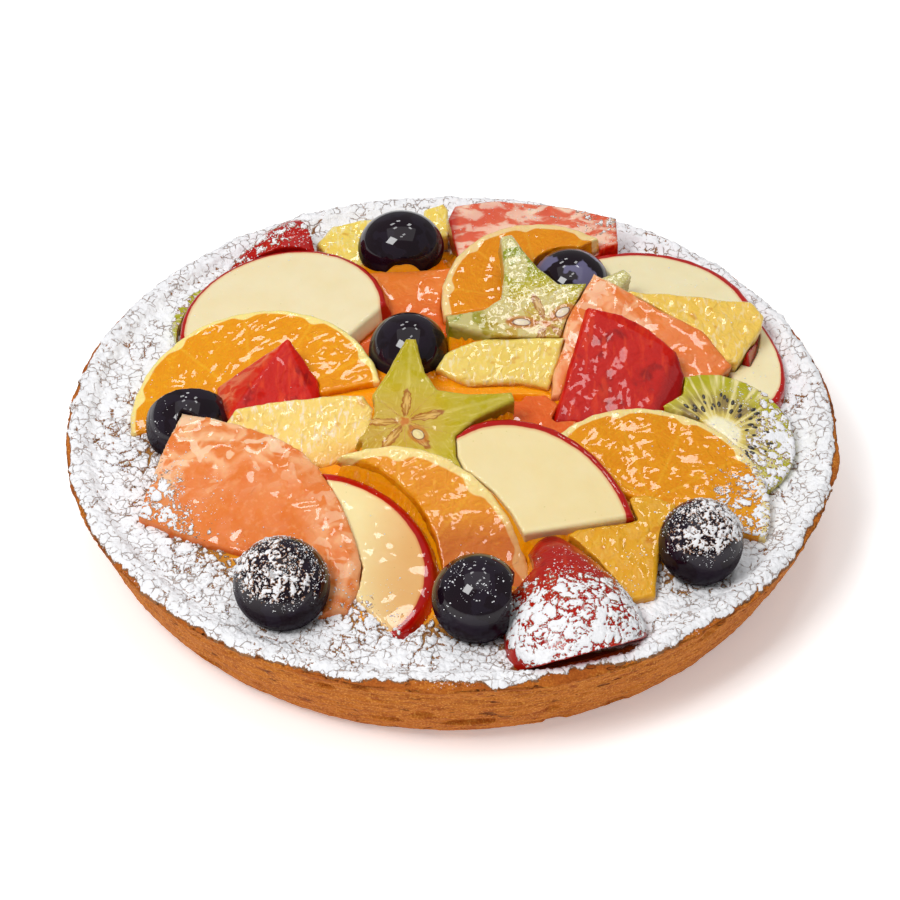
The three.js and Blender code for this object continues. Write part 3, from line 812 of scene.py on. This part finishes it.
def flesh_relief(kind, points, flesh):
    """How far the glaze and the flesh under it stand out or in."""
    glaze = 0.5 * (noise(points, 8, 41) - 0.5) + 0.32 * (noise(points, 3.5, 42) - 0.5)
    if kind == "orange":
        angle = np.arctan2(flesh[:, 1], flesh[:, 0])
        reach = np.hypot(flesh[:, 0], flesh[:, 1])
        sacs = np.stack([angle * reach * 28, reach * 9, flesh[:, 2] * 5], axis=1)
        return glaze + 0.08 * (noise(sacs, 1.0, 43) - 0.5) + 0.1 * (noise(points, 1.6, 49) - 0.5)
    if kind == "pine":
        return glaze * 1.3 + 0.25 * (noise(points, (1.6, 3.2, 2.5), 44) - 0.5)
    if kind == "straw":
        return glaze * 0.8 + 0.1 * (noise(points, (1.4, 4, 3), 45) - 0.5)
    if kind == "apple":
        return glaze * 0.35
    if kind == "kiwi":
        return glaze * 0.6 + 0.3 * (noise(points, 1.3, 46) - 0.5)
    if kind == "star":
        return glaze * 0.6 + 0.15 * (noise(points, 1.2, 47) - 0.5)
    if kind == "grape":
        return 0.3 * (noise(points, 9, 48) - 0.5)
    return glaze * 1.4


def star_places(name, flesh, reach):
    """Distance of each point along and across the nearest arm, and from the nearest seed's outline."""
    own = flesh[:, :2] * reach[0]
    ways = np.radians(STAR_ARMS[name])
    turned = np.arctan2(own[:, 1], own[:, 0])[:, None] - ways[None, :]
    off = (turned + math.pi) % (2 * math.pi) - math.pi
    nearest = off[np.arange(len(own)), np.abs(off).argmin(axis=1)]
    radius = np.hypot(own[:, 0], own[:, 1])
    gap = np.full(len(flesh), 9.0)
    for distance, angle, length, width in STAR_SEEDS[name]:
        turn = math.radians(angle)
        way = np.array([math.cos(turn), math.sin(turn)])
        along = own @ way - distance
        across = own @ np.array([-way[1], way[0]])
        oval = np.hypot(along / (length / 2), across / (width / 2))
        gap = np.minimum(gap, (oval - 1) * width / 2)
    return np.stack([radius * np.cos(nearest), radius * np.sin(nearest), gap], axis=1)


def flesh_places(name, points):
    """Each point's place in its own cut face, whose rim is at one, or in centimetres without such a face."""
    if name not in SLICES:
        return points / 10
    at, turn, lean, toward, reach = SLICES[name]
    own = into(place_matrix(at, turn, lean, toward), points)
    return own / np.array([reach[0], reach[1], reach[0]])


def paint_strawberry(name, mesh, points, normals):
    """Pale cut flesh and dark skin, by piece; on straw_2 the paler face is picked by the way it turns, pale
    flesh with a painted sheen.
    """
    pale = np.zeros(len(points))
    skin = np.zeros(len(points))
    if name == "straw_5":
        pale = smoothstep(normals[:, 2], 0.3, 0.8) * (0.6 + 0.4 * noise(points, 5, 51))
        skin = smoothstep(-points[:, 0], -3.5, 0.5) * 0.8
    if name == "straw_2":
        # straw_2: the face turned up and back to the right is paler, partly its cut flesh and partly a
        # painted sheen
        pale = smoothstep(normals @ np.array([0.5, 0.6, 0.62]), 0.75, 0.95) * 0.55
        skin = smoothstep(points[:, 0] - 0.4 * points[:, 1], 60, 64)
    if name == "straw_1":
        pale = smoothstep(-normals[:, 0], 0.2, 0.6) * 0.45
    if name in BERRIES:
        skin = np.full(len(points), 0.25 if name == "straw_3" else 0.75)
    set_attributes(mesh, pale=pale, skin=skin)


def melon_highlight_area(name, points):
    """Where painted wet highlights go as pale patches: the upper edge and fold of melon_1, and the back of
    melon_3.
    """
    patches = 0.35 + 0.65 * smoothstep(noise(points, 9, 53), 0.3, 0.7)
    if name == "melon_1":
        upper = smoothstep(points[:, 1], -48, -28)
        fold = 0.6 * smoothstep(points[:, 0], -46, -34)
        return np.maximum(upper, fold)
    back = smoothstep(points[:, 1] - points[:, 0], -46, -18)
    return (0.5 + 0.5 * patches) * back * float(name == "melon_3")


def fruit_piece(name, material):
    kind = name.split("_")[0]
    piece = remeshed(name, FRUIT_VOXEL)
    mesh = piece.data
    points, edges = mesh_arrays(mesh)
    points = smoothed(points, edges, 6 if kind == "melon" else 3)
    if name in ROUNDS:
        points = rounded(points, ROUNDS[name])
    if name in BERRIES:
        points = rounded(points, BERRIES[name], taper=True)
    points = smoothed(points, edges, 2)
    set_points(mesh, points)
    normals = normals_of(mesh)
    flesh = flesh_places(name, points)
    points = points + normals * flesh_relief(kind, points, flesh)[:, None]
    set_points(mesh, points)
    level = crown(outward(points))
    up = smoothstep(normals_of(mesh)[:, 2], 0.05, 0.6)
    fall = sugar_fall(points, SUGAR_SHARE.get(name, 0.0)) * up
    pool = smoothstep(level + POOL_RISE - points[:, 2], 0, POOL_FADE) * 0.8
    tint = np.tile(TINTS.get(name, (1, 1, 1)), (len(points), 1))
    set_attributes(mesh, flesh=flesh, pool=pool, dust=np.clip(fall, 0, 1) * 0.5, tint=tint)
    if name in RIND:
        set_attributes(mesh, rind=1 - RIND[name] / SLICES[name][4][0])
    if name in STAR_SEEDS:
        set_attributes(mesh, arm=star_places(name, flesh, SLICES[name][4]))
        # star_2 gets the greener outer flesh and the painted highlight patches in full, star_1 a quarter of
        # them
        frosted = float(name == "star_2")
        # Painted glints only on the upper part of star_2
        sparkle = frosted * smoothstep(points[:, 1], 22, 32)
        set_attributes(mesh, frost=0.25 + 0.75 * frosted, sparkle=sparkle)
    if kind == "straw":
        paint_strawberry(name, mesh, points, normals)
    if kind == "melon":
        # A melon's pale attribute marks where its painted highlights go
        set_attributes(mesh, pale=melon_highlight_area(name, points))
    if kind == "grape":
        shine = 0.2 + 0.8 * smoothstep(normals[:, 2], -0.1, 0.45)
        # Full painted reflection on grape_7, faint bloom on the rest
        set_attributes(mesh, bloom=1.0 if name == "grape_7" else 0.04, shine=shine)
    mesh.materials.append(material)
    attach(piece, "root")
    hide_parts(name)
    return piece


def oval_mesh(sizes, rings=4, sides=6):
    """Points and faces of a small closed oval."""
    points = [(0, 0, -1.0)]
    for k in range(1, rings):
        fall = math.pi * k / rings
        for j in range(sides):
            turn = 2 * math.pi * j / sides
            points.append((math.sin(fall) * math.cos(turn), math.sin(fall) * math.sin(turn), -math.cos(fall)))
    points.append((0, 0, 1.0))
    faces = [(0, 1 + (j + 1) % sides, 1 + j) for j in range(sides)]
    for k in range(rings - 2):
        row = 1 + k * sides
        for j in range(sides):
            ahead = (j + 1) % sides
            faces.append((row + j, row + ahead, row + sides + ahead, row + sides + j))
    last = 1 + (rings - 2) * sides
    top = last + sides
    faces += [(last + j, last + (j + 1) % sides, top) for j in range(sides)]
    return np.array(points) * np.array(sizes) / 2, faces


def kiwi_seeds(fruit, tree, material):
    """Dark seeds in a ring round the pale core."""
    random = np.random.default_rng(5)
    points = []
    faces = []
    shape, shape_faces = oval_mesh(SEED_SIZE)
    for name in ("kiwi_1", "kiwi_2"):
        at, turn, lean, toward, reach = SLICES[name]
        matrix = place_matrix(at, turn, lean, toward)
        own_tree = tree_of([fruit[name]])
        for k in range(KIWI_SEEDS):
            angle = 2 * math.pi * (k + random.uniform(-0.4, 0.4)) / KIWI_SEEDS
            share = random.uniform(*SEED_RING)
            spot = np.array([[share * reach[0] * math.cos(angle), share * reach[1] * math.sin(angle), 0]])
            world = out_of(matrix, spot)
            height, _ = heights_below(tree, world)
            own_height, _ = heights_below(own_tree, world)
            if height[0] > own_height[0] + 0.05 or own_height[0] < 0:
                continue
            turned = np.array(Matrix.Rotation(angle - math.pi / 2 + random.uniform(-0.3, 0.3), 3, "Z"))
            own = shape * random.uniform(0.75, 1.15) @ turned.T + spot
            faces += [[len(points) + i for i in face] for face in shape_faces]
            placed = out_of(matrix, own)
            placed[:, 2] += height[0] - world[0, 2]
            points += placed.tolist()
    return new_piece("kiwi_seeds", np.array(points), faces, material)


# Crust and filling


def rim_height(tree, way, radius):
    hit, _, _, _ = tree.ray_cast((way * radius + Vector((0, 0, RAY_TOP))) * MM, Vector((0, 0, -1)))
    return hit.z / MM if hit is not None else RIM_HEIGHT - 1.5


def wall_reach(tree, way, height):
    """Distance of the wall from the axis, or the rim's where the ray passes over a low spot."""
    hit, _, _, _ = tree.ray_cast((way * RAY_OUT + Vector((0, 0, height))) * MM, -way)
    reach = hit.xy.length / MM if hit is not None else 0.0
    return reach if reach > 90 else RIM_RADIUS


def crust_rows(tree, turns):
    """Distances and heights of the rows that climb the wall and cross the rim."""
    ways = [Vector((math.cos(turn), math.sin(turn), 0)) for turn in turns]
    rim = np.linspace(RIM_RADIUS - 0.3, RIM_INSIDE + 0.5, RIM_ROWS)
    rim_heights = np.array([[rim_height(tree, way, radius) for way in ways] for radius in rim])
    crest = rim_heights.max(axis=0) - 1.2
    wall_heights = np.array([level * crest / WALL_LEVELS[-1] for level in WALL_LEVELS])
    wall_radii = [[wall_reach(tree, way, height) for way, height in zip(ways, row)] for row in wall_heights]
    radii = np.vstack([wall_radii, rim[:, None] * np.ones(len(turns))])
    heights = np.vstack([wall_heights, rim_heights])
    for _ in range(8):
        radii = (np.roll(radii, 1, 1) + 2 * radii + np.roll(radii, -1, 1)) / 4
        heights = (np.roll(heights, 1, 1) + 2 * heights + np.roll(heights, -1, 1)) / 4
    return radii, heights


def crust_relief(radii, heights, turns):
    """The rows' points, with flaky layers, sandy grain and dents on the wall, and a craggy rim."""
    around = ringed(radii, turns, heights)
    arc = np.stack([np.tile(turns, len(radii)) * RIM_RADIUS, np.zeros(len(around)), around[:, 2]], axis=1)
    layers = noise(arc, (13, 9, 1.5), 61) + 0.6 * noise(arc, (6, 9, 0.9), 62) - 0.8
    sand = rough_noise(around, 1.3, 63) - 0.5
    dents = smoothstep(noise(around, (9, 9, 5), 64), 0.68, 0.85)
    on_wall = (np.arange(len(around)) < len(WALL_LEVELS) * len(turns)).astype(float)
    fade = smoothstep(around[:, 2], 0.3, 3)
    shift = (0.4 * layers + 0.8 * sand - 1.2 * dents) * fade * on_wall
    crest = smoothstep(around[:, 2], 26.5, 29.5) * on_wall
    shift += crest * 1.4 * (rough_noise(around, 5, 66) - 0.5)
    lift = (1.1 * (rough_noise(around, 7, 65) - 0.5) + 0.7 * sand) * (1 - on_wall)
    around[:, :2] *= (1 + shift / radii.ravel())[:, None]
    around[:, 2] += lift
    return around


def crust_piece(material):
    """The case's own form with finer relief, closed by a flat base and a hidden inner face."""
    tree = BVHTree.FromObject(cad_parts["crust"], bpy.context.evaluated_depsgraph_get())
    turns = turns_of(CRUST_COLUMNS)
    radii, heights = crust_rows(tree, turns)
    base = [ringed(radius, turns, height) for radius, height in BASE_ROWS]
    inside = [ringed(radius, turns, height) for radius, height in INSIDE_ROWS]
    points = np.concatenate([*base, crust_relief(radii, heights, turns), *inside])
    faces = grid_faces(len(base) + len(radii) + len(inside), CRUST_COLUMNS)
    piece = new_piece("baked_crust", points, faces.tolist(), material)
    browned = smoothstep(points[:, 2], 27.5, 30.5) * 0.8 + 0.4 * smoothstep(-points[:, 2], -4, -0.5)
    set_attributes(piece.data, browned=browned * smoothstep(noise(points, 8, 67), 0.25, 0.6))
    fine = smoothstep(points[:, 2] + 5 * (noise(points, 12, 68) - 0.5), 27, 33)
    set_attributes(piece.data, dust=0.5 * fine)
    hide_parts("crust")
    return piece


def spread_of(points):
    """Distance from the axis that wanders, which sets where the jelly ends and the baked cream starts."""
    return outward(points) + 10 * (noise(points * [1, 1, 0], 14, 73) - 0.5)


def settled(height):
    """A level with its steps evened out."""
    for _ in range(5):
        around = (np.roll(height, 1, 1) + np.roll(height, -1, 1)) / 2
        inward = np.vstack([height[:1], height[:-1]])
        outward_rows = np.vstack([height[1:], height[-1:]])
        height = 0.4 * height + 0.3 * around + 0.15 * (inward + outward_rows)
    return height


def filling_piece(fruit_tree, material):
    """Jelly that rises to the fruit and holds it, and baked cream by the rim."""
    turns = turns_of(FILLING_COLUMNS)
    radius = np.linspace(0.4, FILLING_RADIUS, FILLING_ROWS)[:, None]
    points = ringed(radius, turns)
    tops, _ = heights_below(fruit_tree, points)
    tops = tops.reshape(FILLING_ROWS, FILLING_COLUMNS)
    under = tops > 0
    level = crown(radius)
    height = np.where(under, np.minimum(tops - 2.4, level + 8 * smoothstep(radius, 86, 66)), level)
    height = settled(height)
    points[:, 2] = height.ravel()
    ripple = 0.5 * (noise(points, 7, 71) - 0.5) + 0.5 * (rough_noise(points, 2.5, 72) - 0.5)
    baked = smoothstep(spread_of(points), BAKED_START, BAKED_FULL)
    height = height + (ripple * (0.35 + 0.9 * baked)).reshape(height.shape)
    height = np.where(under, np.minimum(height, tops - 0.35), height)
    points[:, 2] = height.ravel()
    from_rim = points.reshape(FILLING_ROWS, FILLING_COLUMNS, 3)[::-1].reshape(-1, 3)
    points = np.concatenate([ringed(0.4, turns, 5.4), ringed(95.2, turns, 5.4), from_rim])
    faces = grid_faces(FILLING_ROWS + 2, FILLING_COLUMNS)
    piece = new_piece("jelly_filling", points, faces.tolist(), material)
    juice = juice_band(points)
    baked = smoothstep(spread_of(points), BAKED_START, BAKED_FULL)
    set_attributes(piece.data, baked=baked, dust=0.6 * sugar_fall(points) * (1 - juice), juice=juice)
    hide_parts("filling")
    return piece


# Icing sugar


def kept_faces(faces, cover, low):
    """Faces with any sugar on them, and the points they use."""
    kept = faces[(cover[faces] > low).any(axis=1)]
    used = np.unique(kept)
    order = np.full(len(cover), -1)
    order[used] = np.arange(len(used))
    return order[kept], used


def front_first(front, back):
    """Angles round the tart, closer together on the near half than on the far half."""
    near = math.pi + math.pi * np.arange(front) / front
    far = math.pi * np.arange(back) / back
    return np.concatenate([far, near])


def juice_band(points):
    """Where juice has run out under the front berry and wetted the sugar."""
    x, y, turn = JUICE_AT
    along = (points[:, 0] - x) * math.cos(turn) + (points[:, 1] - y) * math.sin(turn)
    across = (points[:, 1] - y) * math.cos(turn) - (points[:, 0] - x) * math.sin(turn)
    wander = 1.6 * (noise(points, 3, 86) - 0.5)
    return smoothstep(np.hypot(along / JUICE_SIZE[0], (across + wander) / JUICE_SIZE[1]), 1.15, 0.75)


def bridged(heights, rounds=22):
    """Fills the grooves that run round the tart, as powder does."""
    for _ in range(rounds):
        inward = np.vstack([heights[:1], heights[:-1]])
        outward = np.vstack([heights[1:], heights[-1:]])
        heights = np.maximum(heights, (inward + outward) / 2)
    return heights


def sugar_sheet(name, tree, material):
    """A crackled layer on what lies between two distances from the middle."""
    inner, outer, rows, near, far = SUGAR_SHEETS[name]
    turns = front_first(near, far)
    points = ringed(inner + (outer - inner) * np.linspace(0, 1, rows)[:, None], turns)
    heights, _ = heights_below(tree, points)
    heights = np.where(heights > 0, heights, RIM_HEIGHT - 4)
    points[:, 2] = bridged(heights.reshape(rows, len(turns))).ravel()
    flat = points * [1, 1, 0]
    reach = outward(points)
    edge = RIM_RADIUS - 0.7 + 1.5 * (noise(flat, 7, 81) - 0.5) + 1.5 * (noise(flat, 2, 82) - 0.5)
    edge -= 1.5 * smoothstep(-flat[:, 1], 80, 108) * smoothstep(noise(flat, 16, 84), 0.35, 0.7)
    fall = sugar_fall(flat) - 1.6 * smoothstep(reach, edge - 0.5, edge + 0.6) - 1.3 * juice_band(flat)
    cover, height = sugar_cover(flat, fall, 1.0 - 0.3 * smoothstep(reach, 103, 110))
    depth = SUGAR_DEPTH * smoothstep(cover, -0.02, 0.3) * height
    points[:, 2] += np.where(cover > -0.02, depth + 0.1, -0.25)
    faces, used = kept_faces(grid_faces(rows, len(turns)), cover, -0.02)
    piece = new_piece(name, points[used], faces.tolist(), material)
    set_attributes(piece.data, cover=cover[used], crackle=1.0)


def fruit_sugar(pieces, material):
    """Sugar that clings to the upper sides of the outer fruit."""
    all_points, all_faces, all_cover = [], [], []
    start = 0
    for name, piece in pieces.items():
        share = SUGAR_SHARE.get(name, 0.0)
        if share < 0.3:
            continue
        mesh = piece.data
        points, _ = mesh_arrays(mesh)
        normals = normals_of(mesh)
        fall = sugar_fall(points, share) * smoothstep(normals[:, 2], 0.0, 0.55)
        cover, height = sugar_cover(points * (2.2 if name in ROUNDS else 1.35), fall, 1.1)
        cover -= 0.2
        corners = np.empty(len(mesh.polygons) * 4, int)
        mesh.polygons.foreach_get("vertices", corners)
        faces, used = kept_faces(corners.reshape(-1, 4), cover, 0.0)
        depth = 0.4 * height * smoothstep(cover, 0.0, 0.3) + np.where(cover > 0, 0.05, -0.2)
        shell = points + normals * depth[:, None]
        all_points.append(shell[used])
        all_faces.append(faces + start)
        all_cover.append(cover[used] + 0.1)
        start += len(used)
    faces = np.concatenate(all_faces).tolist()
    piece = new_piece("sugar_on_fruit", np.concatenate(all_points), faces, material)
    set_attributes(piece.data, cover=np.concatenate(all_cover))


def vertices_box(piece):
    points, _ = mesh_arrays(piece.data)
    return points.min(axis=0)[:2], points.max(axis=0)[:2]


def grain_spots(tree, pieces, random):
    """Where loose grains come to rest: in clumps, and only on what nothing else covers."""
    spots = []
    for name, count in FLECKS.items():
        low, high = (vertices_box(pieces[name]) if name in pieces else ((-112, -112), (112, 112)))
        x = random.uniform(low[0], high[0], count)
        y = random.uniform(low[1], high[1], count)
        place = np.stack([x, y, np.zeros(count)], axis=1)
        heights, upward = heights_below(tree, place)
        if name in pieces:
            own_heights, _ = heights_below(tree_of([pieces[name]]), place)
            keep = (own_heights > 0) & (heights < own_heights + 0.01)
        else:
            keep = np.hypot(x, y) < RIM_INSIDE
        place[:, 2] = heights
        share = SUGAR_SHARE.get(name, TART_SHARE)
        clumps = smoothstep(rough_noise(place, 3.0, 91), 0.42, 0.62)
        chance = sugar_fall(place, share) * (0.1 + 1.4 * clumps) + 0.012 * min(1, share)
        keep &= (random.random(count) < chance) & (upward > 0.1)
        spots.append(place[keep])
    return np.concatenate(spots)[:GRAINS]


def sugar_grains(tree, pieces, material):
    """Loose grains on the fruit, the filling and the rim: flattened crystals of uneven size."""
    random = np.random.default_rng(9)
    spots = grain_spots(tree, pieces, random)
    corners = np.array([(1, 0, 0), (-1, 0, 0), (0, 1, 0), (0, -1, 0), (0, 0, 0.6), (0, 0, -0.6)])
    sides = np.array([(0, 2, 4), (2, 1, 4), (1, 3, 4), (3, 0, 4), (2, 0, 5), (1, 2, 5), (3, 1, 5), (0, 3, 5)])
    low, high = GRAIN_SIZES
    size = low + (high - low) * random.random((len(spots), 1, 1)) ** 3
    size = size * random.uniform(0.6, 1.3, (len(spots), 6, 1))
    spin = random.uniform(0, 2 * math.pi, len(spots))
    cos, sin = np.cos(spin)[:, None], np.sin(spin)[:, None]
    x = corners[None, :, 0] * cos - corners[None, :, 1] * sin
    y = corners[None, :, 0] * sin + corners[None, :, 1] * cos
    grain = np.stack([x, y, np.tile(corners[:, 2], (len(spots), 1))], axis=-1)
    points = (grain * size + spots[:, None, :]).reshape(-1, 3)
    faces = (sides[None] + 6 * np.arange(len(spots))[:, None, None]).reshape(-1, 3)
    piece = new_piece("sugar_grains", points, faces.tolist(), material)
    set_attributes(piece.data, cover=0.8)


# Stage


def add_camera():
    data = bpy.data.cameras.new("camera")
    data.lens = CAMERA_LENS
    data.sensor_width = SENSOR
    data.sensor_fit = "HORIZONTAL"
    data.clip_end = 20
    camera = linked("camera", data)
    camera.location = Vector(CAMERA_AT) * MM
    way = Vector(CAMERA_TARGET) - Vector(CAMERA_AT)
    camera.rotation_euler = way.to_track_quat("-Z", "Y").to_euler()
    bpy.context.scene.camera = camera


def add_lamp(name, at, size, power):
    data = bpy.data.lights.new(name, "AREA")
    data.shape = "RECTANGLE"
    data.size, data.size_y = size
    data.energy = power
    light = linked(name, data)
    light.location = at
    light.rotation_euler = (Vector(LAMP_TARGET) - Vector(at)).to_track_quat("-Z", "Y").to_euler()


def add_floor():
    mesh = bpy.data.meshes.new("floor")
    corners = [(-1, -1), (1, -1), (1, 1), (-1, 1)]
    points = [(FLOOR_REACH * x, FLOOR_REACH * y, -FLOOR_DROP) for x, y in corners]
    mesh.from_pydata(points, [], [(0, 1, 2, 3)])
    floor = linked("floor", mesh)
    shader = Shader("pale_floor", roughness=0.9, emission_color=(1, 1, 1, 1), emission_strength=FLOOR_GLOW)
    shader.marble(300.0, 2.0, (254, 254, 254), (252, 252, 252))
    mesh.materials.append(shader.finish())


def add_world():
    world = bpy.data.worlds.new("soft_studio")
    world.use_nodes = True
    background = world.node_tree.nodes["Background"]
    background.inputs["Color"].default_value = (1, 1, 1, 1)
    background.inputs["Strength"].default_value = WORLD_LIGHT
    bpy.context.scene.world = world
    bpy.context.scene.view_settings.view_transform = "Standard"


def build():
    add_camera()
    add_floor()
    add_world()
    for name, lamp in LAMPS.items():
        add_lamp(name, *lamp)
    materials = {
        "apple": apple_material(),
        "orange": orange_material(),
        "melon": melon_material(),
        "straw": strawberry_material(),
        "kiwi": kiwi_material(),
        "grape": grape_material(),
        "star": star_material(),
        "pine": pineapple_material(),
    }
    fruit = {name: fruit_piece(name, materials[name.split("_")[0]]) for name in NODES if "_" in name}
    fruit_tree = tree_of(fruit.values())
    crust = crust_piece(crust_material())
    filling = filling_piece(fruit_tree, filling_material())
    sugar = sugar_material()
    ground = tree_of([crust, filling])
    for name in SUGAR_SHEETS:
        sugar_sheet(name, ground, sugar)
    fruit_sugar(fruit, sugar)
    kiwi_seeds(fruit, fruit_tree, seed_material())
    sugar_grains(tree_of([crust, filling, *fruit.values()]), fruit, sugar)


build()
